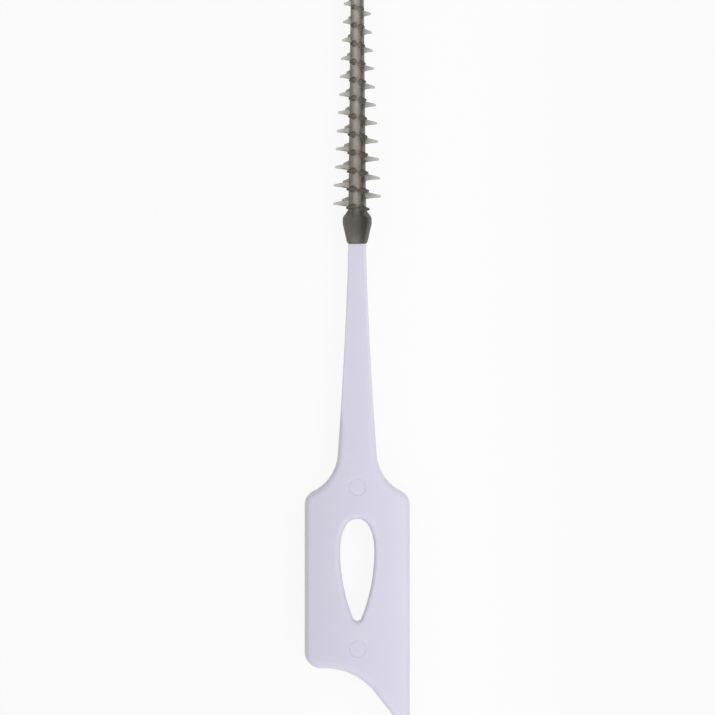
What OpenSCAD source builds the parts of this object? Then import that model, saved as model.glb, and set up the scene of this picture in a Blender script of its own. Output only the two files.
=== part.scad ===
// Interdental brush: a flat plastic handle whose thin core runs up through a moulded rubber brush.
// The pick lies on its back along Y, with the brush towards +Y. Millimetres.

/* [Grip plate] */
// Width of the grip plate
plate_w = 7.35; // [6.9:0.05:9]
// Thickness of the grip plate
plate_t = 1.6; // [1.3:0.05:1.9]
// Length of the grip plate, from its shoulders to its heel
plate_len = 11.45; // [10.5:0.05:14]
// Radius that rounds the edges of the plate's faces
plate_edge_r = 0.45; // [0.2:0.01:0.5]
// Radius of the two shoulders
shoulder_r = 1.05; // [0.8:0.01:1.2]
// Radius of the hollow between the stem and each shoulder
flare_r = 3.1; // [2.2:0.05:3.2]
// Radius of the corner at the heel
heel_r = 1.15; // [0.7:0.05:1.6]
// Flat part of the heel, before it sweeps down into the tail
heel_flat = 0.26; // [0.1:0.01:0.8]
// Radius of the sweep from the heel to the tail
sweep_r = 4.5; // [3.5:0.1:5]
// Slope of the tail's inner edge below the heel, in degrees
tail_angle = 52; // [46:1:60]
// Radius of the tail's tip
tail_tip_r = 0.35; // [0.28:0.01:0.5]

/* [Grip hole] */
// Width of the drop-shaped hole
hole_w = 2.39; // [1.6:0.01:2.8]
// Height of the hole above its widest place
hole_rise = 2.31; // [1.6:0.01:2.6]
// Distance from the shoulders down to the hole's widest place
hole_drop = 3.3; // [2.8:0.05:3.8]
// Radius of the hole's long sides
hole_side_r = 12.4; // [9.5:0.1:14]
// Radius of the hole's lower tip
hole_tip_r = 0.32; // [0.15:0.01:0.35]
// Radius that rounds the hole's rims
hole_edge_r = 0.36; // [0.15:0.01:0.4]

/* [Ejector marks] */
// Diameter of the round marks that the mould's ejector pins leave
mark_d = 1.3; // [1:0.05:1.8]
// Depth of the marks
mark_depth = 0.04; // [0.02:0.01:0.1]
// Distance from the start of the flare down to the upper mark
mark_drop = 2.25; // [1.9:0.05:3]
// Distance from the heel up to the lower mark
mark_rise = 1.4; // [1.1:0.05:1.8]

/* [Stem] */
// Length of the stem, from the collar to the start of the flare
stem_len = 14.75; // [10:0.05:20]
// Width of the stem at the collar
stem_top_w = 1.25; // [1.22:0.01:1.4]
// Width of the stem where it flares
stem_base_w = 2.72; // [2:0.01:2.96]
// Thickness of the stem at the collar
stem_top_t = 1.24; // [1.2:0.01:1.4]
// Radius that rounds the stem's edges at the collar
stem_edge_r = 0.1; // [0.06:0.01:0.3]
// Share of the stem's length that keeps this radius, before the edges grow as round as the plate's
stem_sharp_share = 0.75; // [0.5:0.05:0.85]

/* [Core] */
// Diameter of the plug at the stem's end, inside the collar
plug_d = 0.72; // [0.6:0.01:0.9]
// Length of the plug
plug_len = 0.4; // [0.3:0.05:0.7]
// Length of the cone from the plug down to the core
plug_cone_len = 0.3; // [0.15:0.05:0.4]
// Diameter of the core above the plug
core_d = 0.56; // [0.42:0.01:0.58]
// Diameter of the core at its tip
core_tip_d = 0.4; // [0.28:0.01:0.42]
// Rubber that covers the end of the core
core_cover = 0.95; // [0.6:0.05:1.2]

/* [Collar] */
// Length of the collar
collar_len = 2.36; // [2.2:0.01:2.8]
// Diameter of the collar at its widest
collar_d = 2.03; // [1.85:0.01:2.2]
// Height of the middle of the collar's widest band
collar_belly = 1.59; // [1.5:0.01:1.7]
// Length of that band, whose sides are straight
belly_band = 0.26; // [0.1:0.01:0.4]
// Radius that rounds the collar above and below the band
belly_r = 0.4; // [0.3:0.01:0.6]
// Slope of the collar's lower side from the axis, in degrees
collar_lower_angle = 13; // [9:1:15]
// Slope of the collar's upper side from the axis, in degrees
collar_upper_angle = 38; // [35:1:46]
// Radius that rounds the collar's lower rim
collar_rim_r = 0.24; // [0.1:0.01:0.26]

/* [Brush] */
// Length of the rubber above the collar
brush_len = 23.4; // [21.2:0.1:30]
// Diameter of the rubber shaft at the collar
shaft_d = 1.24; // [1.14:0.01:1.3]
// Diameter of the rubber shaft where the nose starts
shaft_tip_d = 0.77; // [0.7:0.01:0.9]
// Length of the bare nose
nose_len = 1.9; // [1.7:0.05:2.4]
// Diameter of the nose's rounded end
nose_d = 0.46; // [0.3:0.01:0.5]
// Clearance between the core and the rubber moulded onto it
bond_gap = 0.01; // [0:0.005:0.02]

/* [Fingers] */
// Distance between rows of fingers, one row to each turn around the shaft
finger_pitch = 1.272; // [1.1:0.001:1.3]
// Length of the fingers next to the collar
finger_len = 1.13; // [0.7:0.01:1.4]
// Length of the fingers in the last row
finger_last_len = 0.16; // [0.1:0.01:0.4]
// Diameter of the longest fingers where they leave the shaft
finger_root_d = 0.51; // [0.36:0.01:0.52]
// Diameter of the shortest fingers where they leave the shaft
finger_last_root_d = 0.32; // [0.28:0.01:0.36]
// Diameter of the fingers' tips
finger_tip_d = 0.16; // [0.12:0.01:0.22]
// Height of the first turn's start above the collar, below zero where it starts inside it
finger_start = -0.24; // [-0.3:0.01:0.3]

/* [Hidden] */
$fn = 48;

// Where each finger of a turn stands around the shaft: 0 is +X and 90 is up
finger_angles = [0, 61, 116, 180, 232, 292];
// How far up the turn each of them stands
finger_rise_shares = [0, 0.25, 0.345, 0.57, 0.8, 0.92];
// Where a finger's sides bend: shares of the way from its tip's radius to its root's, and of its length
finger_bend_shares = [0.62, 0.33];
// How deep a finger's root sits in the shaft's wall, and how slim it is there
finger_root_share = 0.55;
finger_root_slim = 0.6;
// How far below the shaft's surface a finger reaches its full width, as a share of its own radius
finger_skirt_share = 0.42;

handle_colour = [0.84, 0.83, 0.9];
rubber_colour = [0.38, 0.36, 0.33];

// Fullness of the hole's upper half: 2 is an ellipse, and above 2 it is squarer
hole_fullness = 2.25;
// Shape of the stem's sides: above 1, they widen slowly at first
stem_curve = 1.4;
// Slope of the shoulders from the axis, in degrees
shoulder_angle = 62;
// Steps along the outline's stretches
stem_steps = 8;
flare_steps = 6;
shoulder_steps = 6;
heel_steps = 6;
sweep_steps = 8;
tip_steps = 4;
edge_steps = 3;
hole_steps = 12;
round_steps = 6;
end_steps = 4;
finger_end_steps = 1;
// Where a rounded end turns flat, in degrees from its side
end_angle = 75;
// Shares of the tail tip's radius, and of the plug, that small details take
tail_edge_share = 0.6;
plug_root_share = 0.8;
// Overrun of cuts past a face
overrun = 0.2;

function lerp(a, b, t) = a + (b - a) * t;
function polar(r, a) = [r * cos(a), r * sin(a)];
// Outline of a rounded end that reaches up to a height, with a small flat in its middle
function dome(r, top, steps) = concat(
    [for (i = [0:steps]) let (a = end_angle * i / steps)
        [r * cos(a), top - r * (sin(end_angle) - sin(a))]],
    [[0, top]]);

// A point of the handle's outline: its place, the direction that it faces and the radius of its edges
function spot(p, facing, edge) = [p[0], p[1], facing, edge];
function mirrored(list) = [for (s = list) [-s[0], s[1], 180 - s[2], s[3]]];

// Two triangles that fill the space between four points, which go round it in order
function two_faces(a, b, c, d) = [[a, b, c], [a, c, d]];

// Right side of the stem, from the collar down
stem_grow = (stem_base_w - stem_top_w) / 2;
function stem_side(t) = stem_top_w / 2 + stem_grow * pow(t, stem_curve);
function stem_facing(t) = atan(stem_grow * stem_curve * pow(t, stem_curve - 1) / stem_len);
function stem_edge(t) = lerp(stem_edge_r, plate_edge_r,
    max(0, t - stem_sharp_share) / (1 - stem_sharp_share));
stem_right = [for (i = [0:stem_steps]) let (t = i / stem_steps)
    spot([stem_side(t), -t * stem_len], stem_facing(t), stem_edge(t))];

// Right flare and shoulder
flare_from = stem_facing(1);
flare_centre = [stem_base_w / 2, -stem_len] + polar(flare_r, flare_from);
flare_right = [for (i = [1:flare_steps]) let (a = lerp(flare_from, shoulder_angle, i / flare_steps))
    spot(flare_centre - polar(flare_r, a), a, plate_edge_r)];
flare_end = flare_centre - polar(flare_r, shoulder_angle);
shoulder_x = plate_w / 2 - shoulder_r;
slope_run = (shoulder_x + shoulder_r * cos(shoulder_angle) - flare_end[0]) / sin(shoulder_angle);
shoulder_y = flare_end[1] - slope_run * cos(shoulder_angle) - shoulder_r * sin(shoulder_angle);
shoulder_right = [for (i = [0:shoulder_steps]) let (a = lerp(shoulder_angle, 0, i / shoulder_steps))
    spot([shoulder_x, shoulder_y] + polar(shoulder_r, a), a, plate_edge_r)];

// Heel at the left, and the sweep from it to the tail
heel_y = shoulder_y - plate_len;
heel_centre = [heel_r - plate_w / 2, heel_y + heel_r];
heel_left = [for (i = [0:heel_steps]) let (a = lerp(180, 270, i / heel_steps))
    spot(heel_centre + polar(heel_r, a), a, plate_edge_r)];
sweep_centre = [heel_centre[0] + heel_flat, heel_y - sweep_r];
sweep_left = [for (i = [0:sweep_steps]) let (a = 270 - tail_angle * i / sweep_steps)
    spot(sweep_centre - polar(sweep_r, a), a, plate_edge_r)];

// Tip of the tail, tangent to the sweep's line and to the plate's straight right side
tail_facing = 270 - tail_angle;
sweep_end = sweep_centre - polar(sweep_r, tail_facing);
tail_x = plate_w / 2 - tail_tip_r;
tail_y = sweep_end[1] - (tail_tip_r + (tail_x - sweep_end[0]) * cos(tail_facing)) / sin(tail_facing);
tail_edge_r = tail_tip_r * tail_edge_share;
tip_half = (360 - tail_facing) / 2;
tip_left = [for (i = [0:tip_steps]) let (a = tail_facing + tip_half * i / tip_steps)
    spot([tail_x, tail_y] + polar(tail_tip_r, a), a, tail_edge_r)];
tip_right = [for (i = [0:tip_steps - 1]) let (a = 360 - tip_half * i / tip_steps)
    spot([tail_x, tail_y] + polar(tail_tip_r, a), a, tail_edge_r)];

// The two sides of the outline, from the collar to the tail, paired point by point
left_low = concat(heel_left, sweep_left);
right_low = [for (i = [0:len(left_low) - 1])
    spot([plate_w / 2, (left_low[max(i - 1, 0)][1] + left_low[i][1]) / 2], 0, plate_edge_r)];
upper_right = concat(stem_right, flare_right, shoulder_right);
right_side = concat(upper_right, right_low, tip_right);
left_side = concat(mirrored(upper_right), left_low, tip_left);
outline = concat(right_side, [for (i = [len(left_side) - 1:-1:0]) left_side[i]]);

// Half the handle's thickness at a place along it
function half_t(y) = lerp(stem_top_t, plate_t, min(-y / stem_len, 1)) / 2;

// Levels of the rounded edge, from the back face to the front face
edge_levels = concat([for (i = [edge_steps:-1:0]) [-1, 90 * i / edge_steps]],
    [for (i = [0:edge_steps]) [1, 90 * i / edge_steps]]);
level_count = len(edge_levels);
function edge_point(s, level) = let (
    inset = s[3] * (1 - cos(level[1])),
    x = s[0] - inset * cos(s[2]),
    y = s[1] - inset * sin(s[2]))
    [x, y, level[0] * (half_t(y) - s[3] * (1 - sin(level[1])))];

// The whole handle without its hole, marks and core
module handle_blank() {
    n = len(outline);
    last = level_count - 1;
    half = len(right_side);
    function at(i, j) = i * level_count + j;
    function opposite(i) = n - 1 - i;
    sides = [for (i = [0:n - 2], j = [0:last - 1])
        each two_faces(at(i, j), at(i + 1, j), at(i + 1, j + 1), at(i, j + 1))];
    front = [for (i = [0:half - 2])
        each two_faces(at(i, last), at(i + 1, last), at(opposite(i + 1), last), at(opposite(i), last))];
    front_tip = [[at(half - 1, last), at(half, last), at(half + 1, last)]];
    back = [for (i = [0:half - 2])
        each two_faces(at(i, 0), at(opposite(i), 0), at(opposite(i + 1), 0), at(i + 1, 0))];
    back_tip = [[at(half - 1, 0), at(half + 1, 0), at(half, 0)]];
    end = [concat([for (j = [0:last]) at(0, j)], [for (j = [last:-1:0]) at(n - 1, j)])];
    polyhedron(
        points = [for (s = outline, level = edge_levels) edge_point(s, level)],
        faces = concat(sides, front, front_tip, back, back_tip, end));
}

// The drop-shaped hole: a full half ellipse above, two long arcs and a small round tip below
hole_y = shoulder_y - hole_drop;
side_centre_x = hole_w / 2 - hole_side_r;
tip_drop = sqrt(pow(hole_side_r - hole_tip_r, 2) - pow(side_centre_x, 2));
side_turn = asin(tip_drop / (hole_side_r - hole_tip_r));
side_steps = round_steps;
function full(v) = sign(v) * pow(abs(v), 2 / hole_fullness);
function steep(v) = sign(v) * pow(abs(v), 2 - 2 / hole_fullness);
function hole_facing(a) = atan2(steep(sin(a)) / hole_rise, steep(cos(a)) / (hole_w / 2));
hole_upper = [for (i = [0:hole_steps]) let (a = 180 * i / hole_steps)
    [hole_w / 2 * full(cos(a)), hole_rise * full(sin(a)), hole_facing(a)]];
hole_right = [for (i = [1:side_steps]) let (a = -side_turn * i / side_steps)
    [side_centre_x + hole_side_r * cos(a), hole_side_r * sin(a), a]];
hole_tip = [for (i = [1:round_steps - 1]) let (a = lerp(-side_turn, side_turn - 180, i / round_steps))
    [hole_tip_r * cos(a), hole_tip_r * sin(a) - tip_drop, a]];
hole_outline = concat(
    [for (i = [len(hole_upper) - 1:-1:0]) hole_upper[i]],
    hole_right,
    hole_tip,
    [for (i = [side_steps - 1:-1:0]) let (s = hole_right[i]) [-s[0], s[1], 180 - s[2]]]);

// Cutter for the hole, which widens at both faces to round the rims
module hole_cutter() {
    n = len(hole_outline);
    half = plate_t / 2;
    rim = [for (i = [0:edge_steps]) let (a = 90 * i / edge_steps)
        [half - hole_edge_r * (1 - sin(a)), hole_edge_r * (1 - cos(a))]];
    levels = concat(
        [[-half - overrun, hole_edge_r]],
        [for (i = [edge_steps:-1:0]) [-rim[i][0], rim[i][1]]],
        rim,
        [[half + overrun, hole_edge_r]]);
    count = len(levels);
    function at(i, j) = (i % n) * count + j;
    sides = [for (i = [0:n - 1], j = [0:count - 2])
        each two_faces(at(i, j), at(i + 1, j), at(i + 1, j + 1), at(i, j + 1))];
    top = [[for (i = [0:n - 1]) at(i, count - 1)]];
    bottom = [[for (i = [n - 1:-1:0]) at(i, 0)]];
    translate([0, hole_y, 0])
        polyhedron(
            points = [for (s = hole_outline, level = levels)
                [s[0] + level[1] * cos(s[2]), s[1] + level[1] * sin(s[2]), level[0]]],
            faces = concat(sides, top, bottom));
}

// A shallow round mark in the front face
module ejector_mark(y) {
    translate([0, y, plate_t / 2 - mark_depth])
        cylinder(d = mark_d, h = mark_depth + overrun);
}

// Turns a piece made around Z so that it stands around the pick's axis
module along_pick() {
    rotate([-90, 0, 0])
        children();
}

// Outline of the core, from the plug to the tip, larger by the gap where it cuts the rubber
core_top = collar_len + brush_len - core_cover;
cone_top = plug_len + plug_cone_len;
function core_profile(gap) = concat(
    [[plug_d / 2 + gap, 0], [plug_d / 2 + gap, plug_len], [core_d / 2 + gap, cone_top]],
    dome(core_tip_d / 2 + gap, core_top + gap, end_steps));

module core() {
    root = plug_d * plug_root_share;
    along_pick()
        rotate_extrude()
            polygon(concat([[0, -root], [plug_d / 2, -root]], core_profile(0)));
}

module handle() {
    color(handle_colour)
        place()
            union() {
                difference() {
                    handle_blank();
                    hole_cutter();
                    ejector_mark(-stem_len - mark_drop);
                    ejector_mark(heel_y + mark_rise);
                }
                core();
            }
}

// Collar: a lower cone, a straight band with rounds on both sides and an upper cone that runs in to the shaft
lower_round = [collar_d / 2 - belly_r, collar_belly - belly_band / 2];
upper_round = lower_round + [0, belly_band];
lower_start = lower_round + polar(belly_r, -collar_lower_angle);
upper_start = upper_round + polar(belly_r, collar_upper_angle);
rim_x = lower_start[0] - (lower_start[1] - collar_rim_r) * tan(collar_lower_angle);
collar_profile = concat(
    [for (i = [0:round_steps]) let (a = lerp(-90, -collar_lower_angle, i / round_steps))
        [rim_x - collar_rim_r, collar_rim_r] + polar(collar_rim_r, a)],
    [for (i = [0:round_steps]) lower_round + polar(belly_r, lerp(-collar_lower_angle, 0, i / round_steps))],
    [for (i = [0:round_steps]) upper_round + polar(belly_r, lerp(0, collar_upper_angle, i / round_steps))]);

// Radius of the rubber shaft at a height above the collar
shaft_top = brush_len - nose_len;
function shaft_r(z) = lerp(shaft_d, shaft_tip_d, z / shaft_top) / 2;

// Where the collar's upper cone meets the shaft
cone_slope = tan(collar_upper_angle);
shaft_slope = (shaft_d - shaft_tip_d) / 2 / shaft_top;
foot_run = upper_start[0] + (upper_start[1] - collar_len) * cone_slope - shaft_d / 2;
foot_z = foot_run / (cone_slope - shaft_slope);

sleeve_profile = concat(
    collar_profile,
    [[shaft_r(foot_z), collar_len + foot_z], [shaft_tip_d / 2, collar_len + shaft_top]],
    dome(nose_d / 2, collar_len + brush_len, end_steps),
    [for (i = [len(core_profile(bond_gap)) - 1:-1:0]) core_profile(bond_gap)[i]]);

// As many rows as the shaft has room for below the nose
finger_rows = floor((shaft_top - finger_start) / finger_pitch);
// Every finger: its angle around the shaft, its height above the collar and its share of the way to the top
finger_top = finger_start + finger_rows * finger_pitch;
fingers = [for (row = [0:finger_rows - 1], i = [0:len(finger_angles) - 1])
    let (z = finger_start + (row + finger_rise_shares[i]) * finger_pitch)
    if (z > foot_z) [finger_angles[i], z, z / finger_top]];
function finger_reach(f) = lerp(finger_len, finger_last_len, f[2]);
function finger_root(f) = lerp(finger_root_d, finger_last_root_d, f[2]) / 2;
function wall_at(z) = shaft_r(z) - lerp(core_d, core_tip_d, z / brush_len) / 2;

// Outline of one finger, with its root inside the rubber, measured from the shaft's surface
function finger_profile(f) = let (
    reach = finger_reach(f),
    root_r = finger_root(f),
    tip_r = finger_tip_d / 2,
    root = finger_root_share * wall_at(f[1]))
    concat(
        [[0, -root], [root_r * finger_root_slim, -root], [root_r, -root_r * finger_skirt_share]],
        [[lerp(tip_r, root_r, finger_bend_shares[0]), reach * finger_bend_shares[1]]],
        dome(tip_r, reach, finger_end_steps));

module finger(f) {
    translate([0, 0, collar_len + f[1]])
        rotate([0, 90, -f[0]])
            translate([0, 0, shaft_r(f[1])])
                rotate_extrude()
                    polygon(finger_profile(f));
}

module brush_sleeve() {
    color(rubber_colour)
        place()
            along_pick()
                union() {
                    rotate_extrude()
                        polygon(sleeve_profile);
                    for (f = fingers)
                        finger(f);
                }
}

// The origin is under the middle of the pick, on the surface that its lowest finger touches
finger_depths = [for (f = fingers, p = finger_profile(f))
    p[0] * abs(cos(f[0])) - (shaft_r(f[1]) + p[1]) * sin(f[0])];
axis_z = max(finger_depths);
middle_y = (collar_len + brush_len + tail_y - tail_tip_r) / 2;
module place() {
    translate([0, -middle_y, axis_z])
        children();
}

handle();
brush_sleeve();
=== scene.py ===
# %% [markdown]
# # A soft pick for the gaps between teeth
#
# The real pick is moulded in two shots. The first makes a hard, milky lavender handle: a flat grip
# plate with a drop-shaped hole, a thin stem and a thinner core. The second wraps that core in smoky
# rubber with a collar at its foot and about a hundred small fingers on a helix.
# The construction model already fixes every size. This script loads it and dresses it: each of the
# two solids gets a finer mesh in the same place, and a finish of its own.

# %% Load the construction model
import math

import bmesh
import bpy
import numpy as np
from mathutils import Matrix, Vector
from mathutils.geometry import delaunay_2d_cdt


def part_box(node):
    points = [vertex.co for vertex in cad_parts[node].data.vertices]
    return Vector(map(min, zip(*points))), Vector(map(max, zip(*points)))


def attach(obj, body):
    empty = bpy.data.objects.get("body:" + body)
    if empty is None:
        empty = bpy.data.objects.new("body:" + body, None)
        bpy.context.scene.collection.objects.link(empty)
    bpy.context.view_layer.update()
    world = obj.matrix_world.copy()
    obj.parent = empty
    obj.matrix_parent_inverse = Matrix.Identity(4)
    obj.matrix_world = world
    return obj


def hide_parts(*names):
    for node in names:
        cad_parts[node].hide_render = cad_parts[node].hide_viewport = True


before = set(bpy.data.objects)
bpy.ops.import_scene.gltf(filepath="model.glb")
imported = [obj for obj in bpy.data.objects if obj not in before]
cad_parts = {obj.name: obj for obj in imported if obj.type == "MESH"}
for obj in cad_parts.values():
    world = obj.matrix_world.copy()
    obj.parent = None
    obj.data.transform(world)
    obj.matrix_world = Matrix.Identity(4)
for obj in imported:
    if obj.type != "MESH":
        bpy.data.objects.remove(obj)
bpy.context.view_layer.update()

MM = 0.001

# %% [markdown]
# ## Where things are
#
# The pick lies on its back along Y, with its axis a little above the floor: the lowest fingers touch
# it. Everything below is measured in millimetres from one point, the joint where the stem ends and
# the collar begins. The loaded model gives that point: the plate is centred on the axis, and the
# rubber starts at the joint.

# %% The joint between stem and collar
handle_low, handle_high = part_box("handle")
brush_low, brush_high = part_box("brush_sleeve")
joint = Vector((0, brush_low.y, (handle_low.z + handle_high.z) / 2))


def placed(points):
    """Points in millimetres from the joint, x across, y along and z up, as places in the frame."""
    return np.asarray(points, float) * MM + np.array(joint)


print("joint at", [round(v / MM, 3) for v in joint], "mm")

# %% [markdown]
# ## Camera
#
# The photograph looks straight down on the pick, and shows it without any perspective. A long lens
# from far away does the same. The frame is a little narrower than the pick is long, so the tips of
# the brush and of the tail lie outside it, as they do in the photograph.

# %% Look straight down through a long lens
VIEW_WIDTH = 50.05
VIEW_X = 0.021
VIEW_Y = -3.915
CAMERA_RISE = 0.6

camera_data = bpy.data.cameras.new("long_lens")
camera_data.lens = camera_data.sensor_width * CAMERA_RISE / (VIEW_WIDTH * MM)
camera_data.clip_start = CAMERA_RISE / 10
camera = bpy.data.objects.new("camera", camera_data)
camera.location = (VIEW_X * MM, VIEW_Y * MM, joint.z + CAMERA_RISE)
bpy.context.scene.collection.objects.link(camera)
bpy.context.scene.camera = camera
bpy.context.scene.view_settings.view_transform = "Standard"
print("lens", round(camera_data.lens), "mm")

# %% [markdown]
# ## Sums on sockets
#
# Materials and node trees are full of small sums, and a row of Math nodes is hard to read. The class
# below wraps the output of a node. Adding, subtracting, multiplying or dividing two of them, or one
# and a plain number, adds the Math node that does it, so a mask can be written as 1 - fade * 2.
# Values use Math. Vectors use Vector Math. Any other node comes from node().


# %% A small language for node trees
class Wire:
    """The output of a node, which Python can do sums with."""

    def __init__(self, socket):
        self.socket = socket

    def sum(self, operation, first, second):
        tree = self.socket.id_data
        if self.socket.type == "VECTOR":
            return node(tree, "ShaderNodeVectorMath", {"operation": operation}, {0: first, 1: second})
        return node(tree, "ShaderNodeMath", {"operation": operation}, {0: first, 1: second})

    def __add__(self, other):
        return self.sum("ADD", self, other)

    def __radd__(self, other):
        return self.sum("ADD", other, self)

    def __sub__(self, other):
        return self.sum("SUBTRACT", self, other)

    def __rsub__(self, other):
        return self.sum("SUBTRACT", other, self)

    def __mul__(self, other):
        return self.sum("MULTIPLY", self, other)

    def __rmul__(self, other):
        return self.sum("MULTIPLY", other, self)

    def __truediv__(self, other):
        return self.sum("DIVIDE", self, other)

    def __pow__(self, other):
        return self.sum("POWER", self, other)

    def __mod__(self, other):
        return self.sum("FLOORED_MODULO", self, other)

    def apply(self, operation, other=0.0):
        return self.sum(operation, self, other)

    def named(self, name):
        """Another output of the same node."""
        return Wire(self.socket.node.outputs[name])


def node(tree, kind, settings=(), sockets=(), output=0):
    """Adds a node: its settings first, then the values or links of its sockets."""
    made = tree.nodes.new(kind)
    for name, value in dict(settings).items():
        setattr(made, name, value)
    for key, value in dict(sockets).items():
        if not isinstance(value, (Wire, list)):
            made.inputs[key].default_value = value
            continue
        for wire in value if isinstance(value, list) else [value]:
            tree.links.new(wire.socket, made.inputs[key])
    return Wire(made.outputs[output]) if made.outputs else None


print("node trees can be written as sums")

# %% [markdown]
# ## Floor and light
#
# The pick lies on a plain white floor. Camera, gloss and glass rays see the floor as mostly white by
# itself, with a tenth that is really lit, which keeps a faint shadow. The light is soft: a pale sky
# that is a little brighter towards the tail, and a long lit panel that lies along the pick, close by
# on its right. Because the panel is so near, the plate grows brighter from left to right, and its
# left edges are a little darker. Together they add up to about one, so colours look as they are
# written. Glossy rays see a sky of their own, bright on the left and dark low on the right, which
# puts the highlights where the photograph has them.

# %% White floor
FLOOR_SIZE = 4.0
LIT_SHARE = 0.1
FLOOR_WHITE = 0.8

floor_mesh = bpy.data.meshes.new("floor")
half_floor = FLOOR_SIZE / 2
floor_mesh.from_pydata(
    [(x, y, 0) for x, y in ((-1, -1), (1, -1), (1, 1), (-1, 1))], [], [(0, 1, 2, 3)]
)
for corner in floor_mesh.vertices:
    corner.co *= half_floor
floor = bpy.data.objects.new("floor", floor_mesh)
bpy.context.scene.collection.objects.link(floor)

floor_finish = bpy.data.materials.new("white_floor")
floor_finish.use_nodes = True
tree = floor_finish.node_tree
tree.nodes.clear()
ray = node(tree, "ShaderNodeLightPath")
seen = ray.apply("MAXIMUM", ray.named("Is Glossy Ray"))
seen = seen.apply("MAXIMUM", ray.named("Is Transmission Ray"))
lit = node(tree, "ShaderNodeBsdfDiffuse", {}, {"Color": (*[FLOOR_WHITE] * 3, 1)})
white = node(tree, "ShaderNodeEmission", {}, {"Color": (1, 1, 1, 1), "Strength": 1.0})
paper = node(tree, "ShaderNodeMixShader", {}, {0: seen * (1 - LIT_SHARE), 1: lit, 2: white})
node(tree, "ShaderNodeOutputMaterial", {}, {0: paper})
floor_mesh.materials.append(floor_finish)
print("floor", FLOOR_SIZE, "m wide")

# %% Soft sky and a panel close by
SKY_LEVEL = 0.6
SKY_LEAN = Vector((-0.1, -0.28))
SHINE_LEFT = 1.7
SHINE_TOP = 0.75
SHINE_DARK = 0.1
SHINE_END = (0.56, 0.68)
PANEL_PLACE = Vector((8.5, -25, 14.5))
PANEL_LENGTH = 120
PANEL_WIDTH = 8
PANEL_SHARE = 0.4

sky = bpy.data.worlds.new("soft_sky")
bpy.context.scene.world = sky
sky.use_nodes = True
tree = sky.node_tree
tree.nodes.clear()
direction = node(tree, "ShaderNodeTexCoord").named("Generated")
east = node(tree, "ShaderNodeSeparateXYZ", {}, {0: direction})
north = east.named("Y")
soft = (SKY_LEVEL + east * SKY_LEAN.x + north * SKY_LEAN.y).apply("MAXIMUM", 0.0)
shine = SHINE_TOP - east * (SHINE_LEFT - SHINE_TOP)
dark_share = ((east - SHINE_END[0]) / (SHINE_END[1] - SHINE_END[0])).apply("MAXIMUM", 0.0)
shine = shine + dark_share.apply("MINIMUM", 1.0) * (SHINE_DARK - shine)
glossy = node(tree, "ShaderNodeLightPath").named("Is Glossy Ray")
brightness = soft + glossy * (shine - soft)
air = node(tree, "ShaderNodeBackground", {}, {"Color": (1, 1, 1, 1), "Strength": brightness})
node(tree, "ShaderNodeOutputWorld", {}, {0: air})

panel_data = bpy.data.lights.new("near_panel", "AREA")
panel_data.shape = "RECTANGLE"
panel_data.size = PANEL_LENGTH * MM
panel_data.size_y = PANEL_WIDTH * MM
panel_reach = Vector((PANEL_PLACE.x, 0, PANEL_PLACE.z)) * MM
panel_falloff = panel_reach.length_squared / panel_reach.z
panel_data.energy = PANEL_SHARE * 2 * math.pi * PANEL_LENGTH * MM * panel_falloff
panel = bpy.data.objects.new("near_panel", panel_data)
panel.location = joint + PANEL_PLACE * MM
panel.rotation_euler = panel_reach.to_track_quat("Z", "Y").to_euler()
panel.visible_camera = False
panel.visible_glossy = False
bpy.context.scene.collection.objects.link(panel)
print("sky", SKY_LEVEL, "and a panel of", round(panel_data.energy, 3), "W")

# %% [markdown]
# ## Outline of the handle
#
# The handle is a flat moulding, so its outline says nearly everything: a stem that widens slowly, a
# round hollow, a round shoulder, a straight side, and at the foot a heel that sweeps down into a
# pointed tail. Each stretch is a curve with a formula. Every point also carries the direction that
# the edge faces there and the radius that rounds it: the plate's edges are soft, the upper stem's are
# nearly sharp, and the tail's tighten towards its point.

# %% Sizes of the handle
plate_width = (handle_high.x - handle_low.x) / MM
plate_thickness = (handle_high.z - handle_low.z) / MM
PLATE_LENGTH = 11.45
PLATE_EDGE = 0.45
SHOULDER_RADIUS = 1.05
SHOULDER_SLOPE = 62
FLARE_RADIUS = 3.1
HEEL_RADIUS = 1.15
HEEL_FLAT = 0.26
SWEEP_RADIUS = 4.5
TAIL_SLOPE = 52
TIP_RADIUS = 0.35
TIP_EDGE_SHARE = 0.6
TIP_EDGE_GROWTH = 0.35
STEM_LENGTH = 14.75
STEM_TOP_WIDTH = 1.25
STEM_BASE_WIDTH = 2.72
STEM_TOP_THICKNESS = 1.24
STEM_EDGE = 0.1
EDGE_GROWS = (0.76, 0.89)
STEM_CURVE = 1.4
POINT_GAP = 0.2


def ease(value, start, stop):
    """0 before start, 1 after stop and a soft rise between them."""
    share = np.clip((value - start) / (stop - start), 0, 1)
    return share * share * (3 - 2 * share)


def steps_for(length):
    return max(2, math.ceil(length / POINT_GAP))


def polar(radius, angle):
    turn = math.radians(angle)
    return radius * np.array([math.cos(turn), math.sin(turn)])


def bulge(centre, radius, start, stop, edge):
    """An outward arc: points that face away from its centre."""
    count = steps_for(radius * math.radians(abs(stop - start)) * 2)
    return [(*(centre + polar(radius, a)), a, edge) for a in np.linspace(start, stop, count + 1)]


def hollow(centre, radius, start, stop, edge):
    """An inward arc: points that face its centre."""
    count = steps_for(radius * math.radians(abs(stop - start)))
    return [(*(centre - polar(radius, a)), a, edge) for a in np.linspace(start, stop, count + 1)]


def straight(start, stop, facing, edge):
    """Points between two ends of a straight side, without the ends themselves."""
    start, stop = np.asarray(start, float), np.asarray(stop, float)
    count = steps_for(np.linalg.norm(stop - start))
    return [(*(start + (stop - start) * i / count), facing, edge) for i in range(1, count)]


def mirrored(side):
    return [(-x, y, 180 - facing, edge) for x, y, facing, edge in reversed(side)]


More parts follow.
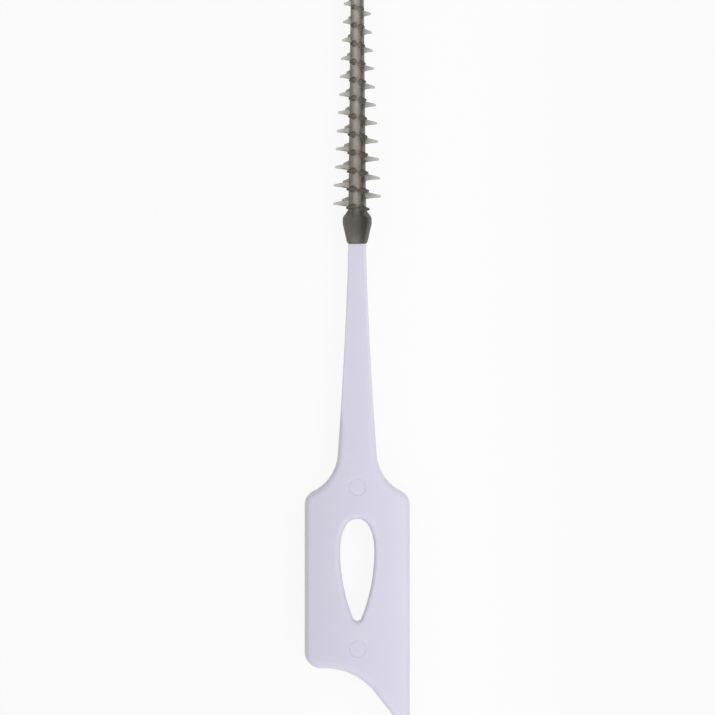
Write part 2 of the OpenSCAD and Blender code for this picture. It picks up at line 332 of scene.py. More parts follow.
stem_grow = (STEM_BASE_WIDTH - STEM_TOP_WIDTH) / 2
stem_side = []
for t in np.linspace(0, 1, steps_for(STEM_LENGTH) + 1):
    slope = stem_grow * STEM_CURVE * t ** (STEM_CURVE - 1) / STEM_LENGTH
    x = STEM_TOP_WIDTH / 2 + stem_grow * t**STEM_CURVE
    edge = STEM_EDGE + (PLATE_EDGE - STEM_EDGE) * ease(t, *EDGE_GROWS)
    stem_side.append((x, -t * STEM_LENGTH, math.degrees(math.atan(slope)), edge))

flare_from = stem_side[-1][2]
flare_centre = np.array([STEM_BASE_WIDTH / 2, -STEM_LENGTH]) + polar(FLARE_RADIUS, flare_from)
flare = hollow(flare_centre, FLARE_RADIUS, flare_from, SHOULDER_SLOPE, PLATE_EDGE)
flare_end = np.array(flare[-1][:2])
shoulder_x = plate_width / 2 - SHOULDER_RADIUS
slope_run = shoulder_x + polar(SHOULDER_RADIUS, SHOULDER_SLOPE)[0] - flare_end[0]
shoulder_y = flare_end[1] - slope_run / math.tan(math.radians(SHOULDER_SLOPE))
shoulder_y -= polar(SHOULDER_RADIUS, SHOULDER_SLOPE)[1]
shoulder_centre = np.array([shoulder_x, shoulder_y])
shoulder = bulge(shoulder_centre, SHOULDER_RADIUS, SHOULDER_SLOPE, 0, PLATE_EDGE)
upper_side = stem_side + flare[1:] + shoulder

heel_y = shoulder_y - PLATE_LENGTH
heel_centre = np.array([HEEL_RADIUS - plate_width / 2, heel_y + HEEL_RADIUS])
heel = bulge(heel_centre, HEEL_RADIUS, 180, 270, PLATE_EDGE)
sweep_centre = np.array([heel_centre[0] + HEEL_FLAT, heel_y - SWEEP_RADIUS])
sweep = hollow(sweep_centre, SWEEP_RADIUS, 270, 270 - TAIL_SLOPE, PLATE_EDGE)
tail_facing = 270 - TAIL_SLOPE
sweep_end = np.array(sweep[-1][:2])
tip_x = plate_width / 2 - TIP_RADIUS
tip_run = TIP_RADIUS + (tip_x - sweep_end[0]) * math.cos(math.radians(tail_facing))
tip_y = sweep_end[1] - tip_run / math.sin(math.radians(tail_facing))
tip_edge = TIP_RADIUS * TIP_EDGE_SHARE
tip = bulge(np.array([tip_x, tip_y]), TIP_RADIUS, 360, tail_facing, tip_edge)

side_x = plate_width / 2
left_plate = straight((-side_x, heel_centre[1]), (-side_x, shoulder_y), 180, PLATE_EDGE)
inner_tail = straight(tip[-1][:2], sweep_end, tail_facing, PLATE_EDGE)
right_plate = straight((side_x, shoulder_y), (side_x, tip_y), 0, PLATE_EDGE)
foot = tip + inner_tail + sweep[::-1] + heel[::-1]
outline = upper_side + right_plate + foot + left_plate + mirrored(upper_side)
for i, (x, y, facing, edge) in enumerate(outline):
    beyond_tip = math.hypot(x - tip_x, y - tip_y) - TIP_RADIUS
    outline[i] = (x, y, facing, min(edge, tip_edge + TIP_EDGE_GROWTH * beyond_tip))
print("outline of", len(outline), "points, tail ends at", round(tip_y - TIP_RADIUS, 2), "mm")

# %% [markdown]
# ## Face of the plate
#
# A moulded face is never dead flat. This one falls away very slightly towards its sides, and carries
# two round marks where the ejector pins pushed the moulding out, each with a fine groove along its
# rim. Both are functions of the place on the face, so every point of the mesh can ask for its height.

# %% Height of the faces
CROWN = 0.12
MARK_DIAMETER = 1.3
MARK_DEPTH = 0.02
MARK_WALL = 0.13
MARK_GROOVE = 0.04
GROOVE_WIDTH = 0.05
MARK_DROP = 2.25
MARK_RISE = 1.4
mark_places = np.array([[0, -STEM_LENGTH - MARK_DROP], [0, heel_y + MARK_RISE]])


def face_height(x, y):
    """Half the handle's thickness at a place on its face."""
    along = np.clip(-y / STEM_LENGTH, 0, 1)
    half = (STEM_TOP_THICKNESS + (plate_thickness - STEM_TOP_THICKNESS) * along) / 2
    return half - CROWN * (x / (plate_width / 2)) ** 2


def mark_recess(x, y):
    """How deep the ejector marks sink a place on the front face."""
    depth = 0
    for mark_x, mark_y in mark_places:
        inside_by = MARK_DIAMETER / 2 - np.hypot(x - mark_x, y - mark_y)
        groove = np.exp(-(((inside_by - MARK_WALL / 2) / GROOVE_WIDTH) ** 2))
        depth = depth + MARK_DEPTH * ease(inside_by, 0, MARK_WALL) + MARK_GROOVE * groove
    return depth


print("marks at", mark_places[:, 1].round(2), "mm along")

# %% [markdown]
# ## Drop-shaped hole
#
# The hole is a full half ellipse above, two long arcs and a small round tip below. Its rims are
# rounded in the same way as the outline, only that the rounding moves outward, into the plate.

# %% Outline of the hole
HOLE_WIDTH = 2.39
HOLE_RISE = 2.31
HOLE_DROP = 3.3
HOLE_SIDE_RADIUS = 12.4
HOLE_TIP_RADIUS = 0.32
HOLE_EDGE = 0.36
HOLE_FULLNESS = 2.25
HOLE_TURNS = 48

side_centre = HOLE_WIDTH / 2 - HOLE_SIDE_RADIUS
tip_drop = math.sqrt((HOLE_SIDE_RADIUS - HOLE_TIP_RADIUS) ** 2 - side_centre**2)
side_turn = math.degrees(math.asin(tip_drop / (HOLE_SIDE_RADIUS - HOLE_TIP_RADIUS)))
hole_middle = shoulder_y - HOLE_DROP


def signed_power(value, power):
    return math.copysign(abs(value) ** power, value)


hole = []
for a in np.linspace(180, 0, HOLE_TURNS + 1):
    c, s = math.cos(math.radians(a)), math.sin(math.radians(a))
    lean_x = signed_power(c, 2 - 2 / HOLE_FULLNESS) / (HOLE_WIDTH / 2)
    lean_y = signed_power(s, 2 - 2 / HOLE_FULLNESS) / HOLE_RISE
    hole.append((
        HOLE_WIDTH / 2 * signed_power(c, 2 / HOLE_FULLNESS),
        HOLE_RISE * signed_power(s, 2 / HOLE_FULLNESS),
        math.degrees(math.atan2(lean_y, lean_x)),
        HOLE_EDGE,
    ))
flank = bulge(np.array([side_centre, 0]), HOLE_SIDE_RADIUS, 0, -side_turn, HOLE_EDGE)
tip_centre = np.array([0, -tip_drop])
hole_tip = bulge(tip_centre, HOLE_TIP_RADIUS, -side_turn, side_turn - 180, HOLE_EDGE)
hole = hole + flank[1:] + hole_tip[1:-1] + mirrored(flank[1:])
hole = [(x, y + hole_middle, facing, edge) for x, y, facing, edge in hole]
print("hole of", len(hole), "points,", round(HOLE_RISE + tip_drop + HOLE_TIP_RADIUS, 2), "mm long")

# %% [markdown]
# ## Rounded edges and walls
#
# The walls are built as rows that run round the outline, from the back face over the wall to the
# front face. Where the two halves of the mould met, the wall has a fine raised witness line. A last
# row lies just inside each rounded edge, so that the smooth shading of the round doesn't spill onto
# the flat face.

# %% Rows of points round an outline
EDGE_TURNS = 7
WITNESS_RISE = 0.012
WITNESS_WIDTH = 0.05
SUPPORT_GAP = 0.05


def wall_rows(loop, into):
    """Rows from the back to the front. into is -1 where rounding moves inward, 1 outward."""
    x, y, facing, edge = np.array(loop).T
    facing = np.radians(facing)
    turns = np.linspace(90, 0, EDGE_TURNS)
    levels = [(-1, 90, SUPPORT_GAP)] + [(-1, turn, 0) for turn in turns]
    levels += [(1, turn, 0) for turn in turns[::-1]] + [(1, 90, SUPPORT_GAP)]
    rows = []
    for side, turn, extra in levels:
        turn = math.radians(turn)
        shift = into * (edge * (1 - math.cos(turn)) + extra + WITNESS_RISE)
        px, py = x + shift * np.cos(facing), y + shift * np.sin(facing)
        height = face_height(px, py) - edge * (1 - math.sin(turn))
        rows.append(np.column_stack([px, py, side * height]))
    middle = len(rows) // 2
    low, high = rows[middle - 1], rows[middle]
    flat = np.full_like(x, WITNESS_WIDTH / 2)
    line = [
        np.column_stack([low[:, 0], low[:, 1], -flat]),
        np.column_stack([x, y, 0 * x]),
        np.column_stack([high[:, 0], high[:, 1], flat]),
    ]
    return rows[:middle] + line + rows[middle:]


outer_rows = wall_rows(outline, -1)
hole_rows = wall_rows(hole, 1)
print(len(outer_rows), "rows of", len(outline), "and of", len(hole), "points")

# %% [markdown]
# ## Filling the faces
#
# Between the outline, the hole and the rings of the marks, each face is filled with an even net of
# triangles. Delaunay triangulation does this well: it is given the rings as edges that it must keep,
# and loose points in between, and it never makes a thin sliver if it can make a fat triangle.

# %% Net of triangles over a face
NET_GAP = 0.3
NET_MARGIN = 0.13
RING_POINTS = 64
RING_SPREAD = (-0.4, 1.4)
RING_COUNT = 10
SAME_PLACE = 1e-7
ring_radii = MARK_DIAMETER / 2 - MARK_WALL * np.linspace(*RING_SPREAD, RING_COUNT)


def is_inside(loop, points):
    """Whether each point lies inside a closed loop."""
    x, y = points[:, :1], points[:, 1:2]
    ax, ay = loop.T
    bx, by = np.roll(loop, -1, axis=0).T
    crosses = (ay > y) != (by > y)
    rise = np.where(by == ay, 1, by - ay)
    return (crosses & (x < ax + (y - ay) * (bx - ax) / rise)).sum(1) % 2 == 1


outer_ring = outer_rows[-1][:, :2]
hole_ring = hole_rows[-1][:, :2]
spin = np.linspace(0, 2 * math.pi, RING_POINTS, endpoint=False)
mark_rings = [
    place + radius * np.column_stack([np.cos(spin), np.sin(spin)])
    for place in mark_places
    for radius in ring_radii
]
rings = [outer_ring, hole_ring, *mark_rings]

net_x = np.arange(-plate_width / 2, plate_width / 2, NET_GAP)
net_y = np.arange(tip_y, 0, NET_GAP * math.sqrt(3) / 2)
net = np.array([(x + NET_GAP / 2 * (i % 2), y) for i, y in enumerate(net_y) for x in net_x])
net = net[is_inside(outer_ring, net) & ~is_inside(hole_ring, net)]
ring_points = np.vstack(rings)
apart = np.sqrt(((net[:, None] - ring_points[None]) ** 2).sum(2)).min(1)
net = net[apart > NET_MARGIN]

face_points = np.vstack([ring_points, net])
kept_edges = []
start = 0
for ring in rings:
    count = len(ring)
    kept_edges += [(start + i, start + (i + 1) % count) for i in range(count)]
    start += count
filled = delaunay_2d_cdt([Vector(p) for p in face_points], kept_edges, [], 0, SAME_PLACE)
flat_points = np.array([tuple(p) for p in filled[0]])
triangles = np.array([tuple(f) for f in filled[2]])
middles = flat_points[triangles].mean(1)
triangles = triangles[is_inside(outer_ring, middles) & ~is_inside(hole_ring, middles)]
print("each face has", len(triangles), "triangles")

# %% [markdown]
# ## Core
#
# Above the joint the handle goes on as a short plug and a thin tapering core. It is as much part of
# the moulding as the plate is, and it shows through the smoky rubber as a pale stripe. It is turned
# like a piece on a lathe: a profile of radii and places, repeated round a circle. The pressure of the
# second shot can push such a thin core off the axis. Here it starts centred in the collar and moves
# towards the front, by as much as makes the stripe as pale as it is in the photograph.

# %% Turned pieces
CORE_SHIFT_X = -0.01
CORE_SHIFT_Z = 0.21
CORE_SHIFT_FROM = 2.4
CORE_SHIFT_LOSS = 0.5
CORE_ROWS = 40
PLUG_DIAMETER = 0.72
PLUG_LENGTH = 0.4
PLUG_CONE = 0.3
PLUG_ROOT = 0.58
CORE_DIAMETER = 0.56
CORE_TIP_DIAMETER = 0.4
CORE_COVER = 0.95
CORE_TIP_STEPS = 5
COLLAR_LENGTH = 2.36
BRUSH_LENGTH = 23.4
CORE_SIDES = 32


def dome(radius, top, steps):
    """Profile of a rounded end: radii and places up to the very top."""
    turns = np.linspace(0, math.pi / 2, steps + 1)[:-1]
    return [(radius * math.cos(a), top - radius + radius * math.sin(a)) for a in turns]


def turned(profile, sides):
    """Points and faces of a closed piece turned about the axis, from its lowest place to its top."""
    spin = np.linspace(0, 2 * math.pi, sides, endpoint=False)
    points, faces = [(0, profile[0][1], 0)], []
    for radius, place in profile:
        points += [(radius * math.cos(a), place, radius * math.sin(a)) for a in spin]
    points.append((0, profile[-1][1], 0))
    for i in range(sides):
        j = (i + 1) % sides
        faces.append((0, 1 + j, 1 + i))
        for row in range(len(profile) - 1):
            low, high = 1 + row * sides, 1 + (row + 1) * sides
            faces.append((low + i, low + j, high + j, high + i))
        top = 1 + (len(profile) - 1) * sides
        faces.append((top + i, top + j, len(points) - 1))
    return points, faces


core_top = COLLAR_LENGTH + BRUSH_LENGTH - CORE_COVER
core_start = PLUG_LENGTH + PLUG_CONE
core_end = core_top - CORE_TIP_DIAMETER / 2


def core_share(place):
    return (place - core_start) / (core_end - core_start)


core_profile = [(PLUG_DIAMETER / 2, -PLUG_ROOT), (PLUG_DIAMETER / 2, PLUG_LENGTH)]
for place in np.linspace(core_start, core_end, CORE_ROWS)[:-1]:
    radius = CORE_DIAMETER + (CORE_TIP_DIAMETER - CORE_DIAMETER) * core_share(place)
    core_profile.append((radius / 2, place))
core_profile += dome(CORE_TIP_DIAMETER / 2, core_top, CORE_TIP_STEPS)
core_points, core_faces = turned(core_profile, CORE_SIDES)
core_points = np.array(core_points)
push = np.clip(core_points[:, 1] / CORE_SHIFT_FROM, 0, 1)
push *= 1 - CORE_SHIFT_LOSS * np.clip(core_share(core_points[:, 1]), 0, 1)
core_points[:, 0] += CORE_SHIFT_X * push
core_points[:, 2] += CORE_SHIFT_Z * push
print("core reaches", round(core_top, 2), "mm above the joint")

# %% [markdown]
# ## Handle mesh
#
# Now the parts come together. Walls and faces make one closed shell: points that fall on each other
# are merged, and the normals are worked out afresh, so they all point outwards. The core is a shell of
# its own at first. A Boolean modifier fuses the two, because light that wanders through the milky
# plastic would stop at any wall left inside it.

# %% Put the handle together
MERGE_GAP = 0.002
SHARP_ANGLE = math.radians(40)


def smooth(mesh):
    mesh.shade_smooth()
    mesh.set_sharp_from_angle(angle=SHARP_ANGLE)


class Stock:
    """Points and faces that are gathered for one mesh, in millimetres from the joint."""

    def __init__(self):
        self.points = []
        self.faces = []

    def add(self, points, faces):
        start = len(self.points)
        self.points += [tuple(p) for p in points]
        self.faces += [tuple(start + i for i in face) for face in faces]

    def add_rows(self, rows):
        """Rows of points that run round a closed wall, joined row to row."""
        count = len(rows[0])
        faces = []
        for low in range(0, count * (len(rows) - 1), count):
            high = low + count
            for i in range(count):
                j = (i + 1) % count
                faces.append((low + i, low + j, high + j, high + i))
        self.add(np.vstack(rows), faces)

    def to_object(self, name):
        mesh = bpy.data.meshes.new(name)
        mesh.from_pydata(placed(self.points).tolist(), [], self.faces)
        work = bmesh.new()
        work.from_mesh(mesh)
        bmesh.ops.remove_doubles(work, verts=work.verts, dist=MERGE_GAP * MM)
        bmesh.ops.recalc_face_normals(work, faces=work.faces)
        open_edges = sum(not edge.is_manifold for edge in work.edges)
        work.to_mesh(mesh)
        work.free()
        smooth(mesh)
        made = bpy.data.objects.new(name, mesh)
        bpy.context.scene.collection.objects.link(made)
        print(name, "has", len(mesh.polygons), "faces and", open_edges, "open edges")
        return made


fx, fy = flat_points.T
front = np.column_stack([fx, fy, face_height(fx, fy) - mark_recess(fx, fy)])
back = np.column_stack([fx, fy, -face_height(fx, fy)])
moulding = Stock()
moulding.add_rows(outer_rows)
moulding.add_rows(hole_rows)
moulding.add(front, triangles)
moulding.add(back, triangles[:, ::-1])
handle = moulding.to_object("handle_moulding")

core_stock = Stock()
core_stock.add(core_points, core_faces)
core = core_stock.to_object("core")
fusing = handle.modifiers.new("core", "BOOLEAN")
fusing.operation = "UNION"
fusing.solver = "MANIFOLD"
fusing.object = core
fused_handle = handle.evaluated_get(bpy.context.evaluated_depsgraph_get())
handle.data = bpy.data.meshes.new_from_object(fused_handle)
handle.data.materials.clear()
handle.modifiers.clear()
bpy.data.objects.remove(core)
smooth(handle.data)
print("fused handle has", len(handle.data.polygons), "faces")

# %% [markdown]
# ## Rubber collar and shaft
#
# The rubber is one moulding too. Its body is turned: a collar with a round belly, a shaft that
# tapers up from it, and a bare rounded nose. Where the collar's upper slope runs into the shaft, the
# larger of the two radii counts, and a soft maximum rounds the corner between them.

# %% Profile of the rubber
COLLAR_DIAMETER = 2.03
COLLAR_BELLY = 1.59
BELLY_BAND = 0.26
BELLY_RADIUS = 0.4
COLLAR_LOWER_SLOPE = 13
COLLAR_UPPER_SLOPE = 38
RIM_RADIUS = 0.24
SHAFT_DIAMETER = 1.24
SHAFT_TIP_DIAMETER = 0.77
NOSE_LENGTH = 1.9
NOSE_DIAMETER = 0.46
CORNER_SOFTNESS = 0.05
SHAFT_ROW_GAP = 0.1
SLEEVE_SIDES = 72
RIM_STEPS = 9
BELLY_STEPS = 5
ARC_STEPS = 10
SIDE_STEPS = 14
CONE_STEPS = 12
CORNER_REACH = 0.3

shaft_top = BRUSH_LENGTH - NOSE_LENGTH
lower_round = np.array([COLLAR_DIAMETER / 2 - BELLY_RADIUS, COLLAR_BELLY - BELLY_BAND / 2])
upper_round = lower_round + np.array([0, BELLY_BAND])
lower = lower_round + polar(BELLY_RADIUS, -COLLAR_LOWER_SLOPE)
upper = upper_round + polar(BELLY_RADIUS, COLLAR_UPPER_SLOPE)
lower_run = (lower[1] - RIM_RADIUS) * math.tan(math.radians(COLLAR_LOWER_SLOPE))
rim_centre = np.array([lower[0] - lower_run - RIM_RADIUS, RIM_RADIUS])


def shaft_radius(height):
    return (SHAFT_DIAMETER + (SHAFT_TIP_DIAMETER - SHAFT_DIAMETER) * height / shaft_top) / 2


def shoulder_radius(place):
    """Radius above the belly: the collar's slope or the shaft, whichever is larger."""
    slope = upper[0] - (place - upper[1]) * math.tan(math.radians(COLLAR_UPPER_SLOPE))
    shaft = shaft_radius(place - COLLAR_LENGTH)
    return CORNER_SOFTNESS * np.logaddexp(slope / CORNER_SOFTNESS, shaft / CORNER_SOFTNESS)


def arc(centre, radius, start, stop, count):
    return [centre + polar(radius, a) for a in np.linspace(start, stop, count)]


rim = arc(rim_centre, RIM_RADIUS, -90, -COLLAR_LOWER_SLOPE, RIM_STEPS)
lower_side = [rim[-1] + (lower - rim[-1]) * t for t in np.linspace(0, 1, SIDE_STEPS)[1:-1]]
belly = arc(lower_round, BELLY_RADIUS, -COLLAR_LOWER_SLOPE, 0, BELLY_STEPS)
belly += arc(upper_round, BELLY_RADIUS, 0, COLLAR_UPPER_SLOPE, ARC_STEPS)
corner_top = COLLAR_LENGTH + CORNER_REACH
slope_places = np.linspace(upper[1], corner_top, SIDE_STEPS)[1:-1]
shaft_places = np.arange(corner_top, COLLAR_LENGTH + shaft_top, SHAFT_ROW_GAP)
shaft_rows = [(shoulder_radius(y), y) for y in [*slope_places, *shaft_places]]
nose = dome(NOSE_DIAMETER / 2, COLLAR_LENGTH + BRUSH_LENGTH, ARC_STEPS)
nose_start = np.array([SHAFT_TIP_DIAMETER / 2, COLLAR_LENGTH + shaft_top])
nose_run = np.array(nose[0]) - nose_start
nose_cone = [nose_start + nose_run * t for t in np.linspace(0, 1, CONE_STEPS)[:-1]]
sleeve_profile = [tuple(p) for p in [*rim, *lower_side, *belly, *shaft_rows, *nose_cone, *nose]]

sleeve_stock = Stock()
sleeve_stock.add(*turned(sleeve_profile, SLEEVE_SIDES))
brush = sleeve_stock.to_object("rubber_brush")


# %% [markdown]
# ## Finish of the handle
#
# The hard plastic is milky: light enters, scatters a little and comes out again, which subsurface
# scattering shows. Its satin skin copies the mould's fine texture, which is a very small bump, and
# the plastic has faint clouds from the way it flowed. Above the joint, where only the core is, it
# gets a warmer and paler colour: the warmth is a tint, and the paleness is painted light that makes
# the core's stripe through the rubber brighter.

# %% Milky lavender plastic
PLASTIC_COLOUR = (0.71, 0.693, 0.805)
PLASTIC_CLOUD = (0.68, 0.663, 0.775)
# Warm tint and painted light for the core, paler than the plastic so that its stripe looks brighter
CORE_TINT_AND_PAINTED_LIGHT = (0.8, 0.75, 0.73)
CLOUD_SCALE = 420
CLOUD_STRETCH = 0.35
CLOUD_DETAIL = 3.0
SKIN_SCALE = 9000
SKIN_DETAIL = 2.0
SKIN_RISE = 0.0000015
SKIN_STRENGTH = 0.6
PLASTIC_ROUGHNESS = 0.4
PLASTIC_IOR = 1.49
ROUGHNESS_CHANGE = 0.1
MILK_SHARE = 0.6
MILK_SPREAD = (1.0, 0.95, 1.1)
MILK_DEPTH = 0.0005

plastic = bpy.data.materials.new("milky_lavender_plastic")
plastic.use_nodes = True
tree = plastic.node_tree
tree.nodes.clear()
place = node(tree, "ShaderNodeTexCoord").named("Object")
stretched = place * node(tree, "ShaderNodeCombineXYZ", {}, {0: 1.0, 1: CLOUD_STRETCH, 2: 1.0})
cloud = node(tree, "ShaderNodeTexNoise", {}, {
    "Vector": stretched, "Scale": CLOUD_SCALE, "Detail": CLOUD_DETAIL,
})
colour = node(tree, "ShaderNodeMix", {"data_type": "RGBA"}, {
    "Factor": cloud, 6: (*PLASTIC_COLOUR, 1), 7: (*PLASTIC_CLOUD, 1),
}, output=2)
along = node(tree, "ShaderNodeSeparateXYZ", {}, {0: place}).named("Y")
# Above the joint the colour becomes a warm tint with painted light, which brightens the core's stripe
colour = node(tree, "ShaderNodeMix", {"data_type": "RGBA"}, {
    "Factor": along.apply("GREATER_THAN", joint.y), 6: colour, 7: (*CORE_TINT_AND_PAINTED_LIGHT, 1),
}, output=2)
skin = node(tree, "ShaderNodeTexNoise", {}, {
    "Vector": place, "Scale": SKIN_SCALE, "Detail": SKIN_DETAIL,
})
bump = node(tree, "ShaderNodeBump", {}, {
    "Strength": SKIN_STRENGTH, "Distance": SKIN_RISE, "Height": skin,
})
satin = node(tree, "ShaderNodeBsdfPrincipled", {}, {
    "Base Color": colour,
    "Roughness": PLASTIC_ROUGHNESS + cloud * ROUGHNESS_CHANGE,
    "IOR": PLASTIC_IOR,
    "Normal": bump,
    "Subsurface Weight": MILK_SHARE,
    "Subsurface Radius": MILK_SPREAD,
    "Subsurface Scale": MILK_DEPTH,
})
node(tree, "ShaderNodeOutputMaterial", {}, {0: satin})
handle.data.materials.append(plastic)
print("plastic set, milk depth", MILK_DEPTH / MM, "mm")

# %% [markdown]
# ## Finish of the rubber
#
# The rubber is smoky but clear enough to see the core through it. It is glass with a glossy coat, and
# a volume inside takes away light with depth, so thin fingers are pale and the thick collar is dark.
# Towards its outline, where one looks along the surface, a dark diffuse layer of painted shade takes
# over from the glass and darkens the outline.

# %% Smoky rubber
SMOKE_COLOUR = (0.429, 0.394, 0.314)
SMOKE_DENSITY = 3300
RUBBER_COLOUR = (0.815, 0.805, 0.79)
RUBBER_PATCH = (0.77, 0.76, 0.74)
PATCH_SCALE = 1500
PATCH_DETAIL = 2.0
PATCH_RISE = 0.000004
PATCH_STRENGTH = 0.5
RUBBER_ROUGHNESS = 0.3
RUBBER_IOR = 1.2
RUBBER_CLEARNESS = 0.965
COAT_ROUGHNESS = 0.15
COAT_IOR = 1.5
# Dark colour of the painted shade along the rubber's outline, and how it grows towards grazing
OUTLINE_SHADE_COLOUR = (0.11, 0.105, 0.095)
OUTLINE_SHADE_FROM = 0.3
OUTLINE_SHADE_GAIN = 1.8
OUTLINE_SHADE_MOST = 0.75

rubber = bpy.data.materials.new("smoky_rubber")
rubber.use_nodes = True
tree = rubber.node_tree
tree.nodes.clear()
place = node(tree, "ShaderNodeTexCoord").named("Object")
patch = node(tree, "ShaderNodeTexNoise", {}, {
    "Vector": place, "Scale": PATCH_SCALE, "Detail": PATCH_DETAIL,
})
colour = node(tree, "ShaderNodeMix", {"data_type": "RGBA"}, {
    "Factor": patch, 6: (*RUBBER_COLOUR, 1), 7: (*RUBBER_PATCH, 1),
}, output=2)
bump = node(tree, "ShaderNodeBump", {}, {
    "Strength": PATCH_STRENGTH, "Distance": PATCH_RISE, "Height": patch,
})
skin = node(tree, "ShaderNodeBsdfPrincipled", {}, {
    "Base Color": colour,
    "Roughness": RUBBER_ROUGHNESS + patch * ROUGHNESS_CHANGE,
    "IOR": RUBBER_IOR,
    "Normal": bump,
    "Transmission Weight": RUBBER_CLEARNESS,
    "Coat Weight": 1.0,
    "Coat Roughness": COAT_ROUGHNESS,
    "Coat IOR": COAT_IOR,
})
smoke = node(tree, "ShaderNodeVolumeAbsorption", {}, {
    "Color": (*SMOKE_COLOUR, 1), "Density": SMOKE_DENSITY,
})
# A dark diffuse shader mixed in towards the outline: painted shade that darkens the rubber's edges
outline_shade = node(tree, "ShaderNodeBsdfDiffuse", {}, {"Color": (*OUTLINE_SHADE_COLOUR, 1)})
grazing = node(tree, "ShaderNodeLayerWeight", {}, {"Blend": 0.5}).named("Facing")
outline_shade_share = ((grazing - OUTLINE_SHADE_FROM) * OUTLINE_SHADE_GAIN).apply("MAXIMUM", 0.0)
outline_shade_share = outline_shade_share.apply("MINIMUM", OUTLINE_SHADE_MOST)
surface = node(tree, "ShaderNodeMixShader", {}, {0: outline_shade_share, 1: skin, 2: outline_shade})
node(tree, "ShaderNodeOutputMaterial", {}, {"Surface": surface, "Volume": smoke})
print("rubber set, smoke", SMOKE_DENSITY, "per metre")

# %% [markdown]
# ## Fingers, as a node tree
#
# About a hundred fingers stand on a helix, six to a turn, and get shorter towards the tip. That is a
# rule, so Geometry Nodes make them. The tree lays out one point for each finger and notes its angle,
# height, length and root size. It puts a plain cylinder on each, and then moves every point of those
# cylinders by formula, which gives the flared root, the taper, the round tip and a slight droop.
# Last, a boolean fuses them with the shaft, because seen through clear rubber any inner wall shows.

# %% Tables and inputs of the tree
FINGER_ANGLES = (0, 61, 116, 180, 232, 292)
RISE_SHARES = (0, 0.25, 0.345, 0.57, 0.8, 0.92)
FINGER_SIZES = {
    "Pitch": 1.272,
    "Start": -0.24,
    "Foot": -0.038,
    "First length": 1.13,
    "Last length": 0.16,
    "First root": 0.51,
    "Last root": 0.32,
    "Tip": 0.16,
    "Bow": 1.22,
    "Root depth": 0.24,
    "Flare": 0.035,
    "Flare reach": 0.09,
    "Droop": 0.05,
}
FINGER_SEED = 7
SHRINK_RANGE = (0.95, 1.0)
WOBBLE_RANGE = (0.3, 1.7)


def from_table(tree, index, values):
    """Picks one number of a table by its index."""
    made = tree.nodes.new("GeometryNodeIndexSwitch")
    made.data_type = "FLOAT"
    while len(made.index_switch_items) < len(values):
        made.index_switch_items.new()
    tree.links.new(index.socket, made.inputs["Index"])
    for i, value in enumerate(values):
        made.inputs[str(i)].default_value = value
    return Wire(made.outputs[0])


def chance(tree, low, high, seed):
    """A random value for each finger, the same on every run."""
    return node(
        tree, "FunctionNodeRandomValue", {"data_type": "FLOAT"}, {2: low, 3: high, 8: seed}, output=1
    )


print(len(FINGER_ANGLES), "fingers to a turn")

# %% Lay out the fingers
FINGER_SIDES = 18
FINGER_ROWS_OF_FACES = 12
ROOT_SLIM_SHARE = 0.45
SMALLEST_TIP_SHARE = 0.004

tree = bpy.data.node_groups.new("rubber_fingers", "GeometryNodeTree")
tree.is_modifier = True
tree.interface.new_socket(name="Geometry", in_out="INPUT", socket_type="NodeSocketGeometry")
tree.interface.new_socket(name="Geometry", in_out="OUTPUT", socket_type="NodeSocketGeometry")
tree.interface.new_socket(name="Rows", in_out="INPUT", socket_type="NodeSocketInt")
tree.interface.new_socket(name="Seed", in_out="INPUT", socket_type="NodeSocketInt")
tree.interface.new_socket(name="Material", in_out="INPUT", socket_type="NodeSocketMaterial")
for name in FINGER_SIZES:
    tree.interface.new_socket(name=name, in_out="INPUT", socket_type="NodeSocketFloat")
given = node(tree, "NodeGroupInput")
size = {name: given.named(name) for name in FINGER_SIZES}

index = node(tree, "GeometryNodeInputIndex")
per_turn = len(FINGER_ANGLES)
turn = (index / per_turn).apply("FLOOR")
place_in_turn = index % per_turn
angle = from_table(tree, place_in_turn, [math.radians(a) for a in FINGER_ANGLES])
rise = from_table(tree, place_in_turn, RISE_SHARES)
height = size["Start"] + (turn + rise) * size["Pitch"]
share = height / (size["Start"] + given.named("Rows") * size["Pitch"])
shrink = chance(tree, *SHRINK_RANGE, given.named("Seed"))
length = size["First length"] + share * (size["Last length"] - size["First length"])
reach = length * shrink
root = (size["First root"] + share * (size["Last root"] - size["First root"])) * 0.5
wobble = chance(tree, *WOBBLE_RANGE, given.named("Seed") + 1)

layout = node(tree, "GeometryNodePoints", {}, {"Count": given.named("Rows") * per_turn})
notes = {
    "angle": angle, "height": height, "reach": reach, "root": root, "wobble": wobble,
    "group": place_in_turn % 2,
}
keeper = tree.nodes.new("GeometryNodeCaptureAttribute")
tree.links.new(layout.socket, keeper.inputs["Geometry"])
for name, value in notes.items():
    keeper.capture_items.new("FLOAT", name)
    tree.links.new(value.socket, keeper.inputs[name])
    notes[name] = Wire(keeper.outputs[name])
below_foot = size["Foot"] - notes["height"]
fingers_kept = node(tree, "GeometryNodeDeleteGeometry", {"domain": "POINT"}, {
    "Geometry": Wire(keeper.outputs["Geometry"]), "Selection": below_foot,
})
print("tree has", len(tree.nodes), "nodes so far")

# %% Shape the fingers by formula
blank = node(tree, "GeometryNodeMeshCylinder", {"fill_type": "NGON"}, {
    "Vertices": FINGER_SIDES, "Side Segments": FINGER_ROWS_OF_FACES, "Radius": 1.0, "Depth": 1.0,
})
copies = node(tree, "GeometryNodeInstanceOnPoints", {}, {"Points": fingers_kept, "Instance": blank})
loose = node(tree, "GeometryNodeRealizeInstances", {}, {"Geometry": copies})

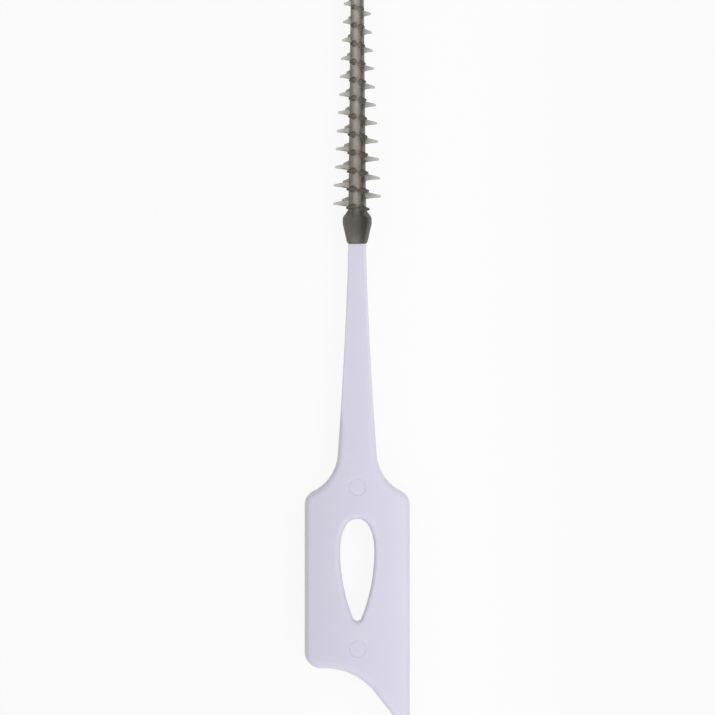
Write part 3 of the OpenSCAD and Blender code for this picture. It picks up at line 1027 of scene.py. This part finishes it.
spot = node(tree, "ShaderNodeSeparateXYZ", {}, {0: node(tree, "GeometryNodeInputPosition")})
from_tip = 0.5 - spot.named("Z")
along = 1 - from_tip * from_tip
distance = along * (notes["reach"] + size["Root depth"]) - size["Root depth"]
outside = distance.apply("MAXIMUM", 0.0)
inside = distance.apply("MINIMUM", 0.0) / size["Root depth"]
share_out = outside / notes["reach"]
tip_radius = size["Tip"] * 0.5
cone = tip_radius + (notes["root"] - tip_radius) * (1 - share_out).apply("MAXIMUM") ** size["Bow"]
flared = cone + size["Flare"] * (0 - outside / size["Flare reach"]).apply("EXPONENT")
slim = flared * (1 + inside * ROOT_SLIM_SHARE)
past = ((outside - notes["reach"]) / tip_radius + 1).apply("MAXIMUM", 0.0)
rounded = (1 - past * past).apply("MAXIMUM", SMALLEST_TIP_SHARE).apply("SQRT")
thick = slim * rounded

stand = shaft_radius(notes["height"]) + distance
sideways = spot.named("Y") * thick
cosine = notes["angle"].apply("COSINE")
sine = notes["angle"].apply("SINE")
lean = size["Droop"] * notes["wobble"] * share_out * share_out
shaped = node(tree, "ShaderNodeCombineXYZ", {}, {
    "X": (stand * cosine - sideways * sine) * MM + joint.x,
    "Y": (notes["height"] + COLLAR_LENGTH + spot * thick - lean) * MM + joint.y,
    "Z": (stand * sine + sideways * cosine) * MM + joint.z,
})
formed = node(tree, "GeometryNodeSetPosition", {}, {"Geometry": loose, "Position": shaped})
halves = node(tree, "GeometryNodeSeparateGeometry", {}, {
    "Geometry": formed, "Selection": notes["group"],
})
fused = node(tree, "GeometryNodeMeshBoolean", {"operation": "UNION", "solver": "MANIFOLD"}, {
    "Mesh 2": [given.named("Geometry"), halves, halves.named("Inverted")],
})
shaded = node(tree, "GeometryNodeSetShadeSmooth", {}, {"Geometry": fused})
whole = node(tree, "GeometryNodeRealizeInstances", {}, {"Geometry": shaded})
dressed = node(tree, "GeometryNodeSetMaterial", {}, {
    "Geometry": whole, "Material": given.named("Material"),
})
node(tree, "NodeGroupOutput", {}, {"Geometry": dressed})
print("tree has", len(tree.nodes), "nodes")

# %% Grow the fingers and keep the result as a plain mesh
finger_rows = math.floor((shaft_top - FINGER_SIZES["Start"]) / FINGER_SIZES["Pitch"])
grower = brush.modifiers.new("fingers", "NODES")
grower.node_group = tree
values = {**FINGER_SIZES, "Rows": finger_rows, "Seed": FINGER_SEED, "Material": rubber}
for item in tree.interface.items_tree:
    if item.in_out == "INPUT" and item.name in values:
        grower[item.identifier] = values[item.name]
grown = brush.evaluated_get(bpy.context.evaluated_depsgraph_get())
brush.data = bpy.data.meshes.new_from_object(grown)
brush.modifiers.clear()
for loose_name in [a.name for a in brush.data.attributes if a.name.startswith(".a_")]:
    brush.data.attributes.remove(brush.data.attributes[loose_name])

work = bmesh.new()
work.from_mesh(brush.data)
open_edges = sum(not edge.is_manifold for edge in work.edges)
brush_triangles = sum(len(face.verts) - 2 for face in work.faces)
work.free()
print(finger_rows, "rows,", brush_triangles, "triangles,", open_edges, "open edges")

# %% [markdown]
# ## Set the pieces on the construction model's body
#
# Each finished mesh rides on the model's one body and stands for the solid that it dresses, which is
# hidden.

# %% Hand over
for piece, solid, slot in ((handle, "handle", "handle"), (brush, "brush_sleeve", "rubber")):
    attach(piece, "root")
    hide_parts(solid)
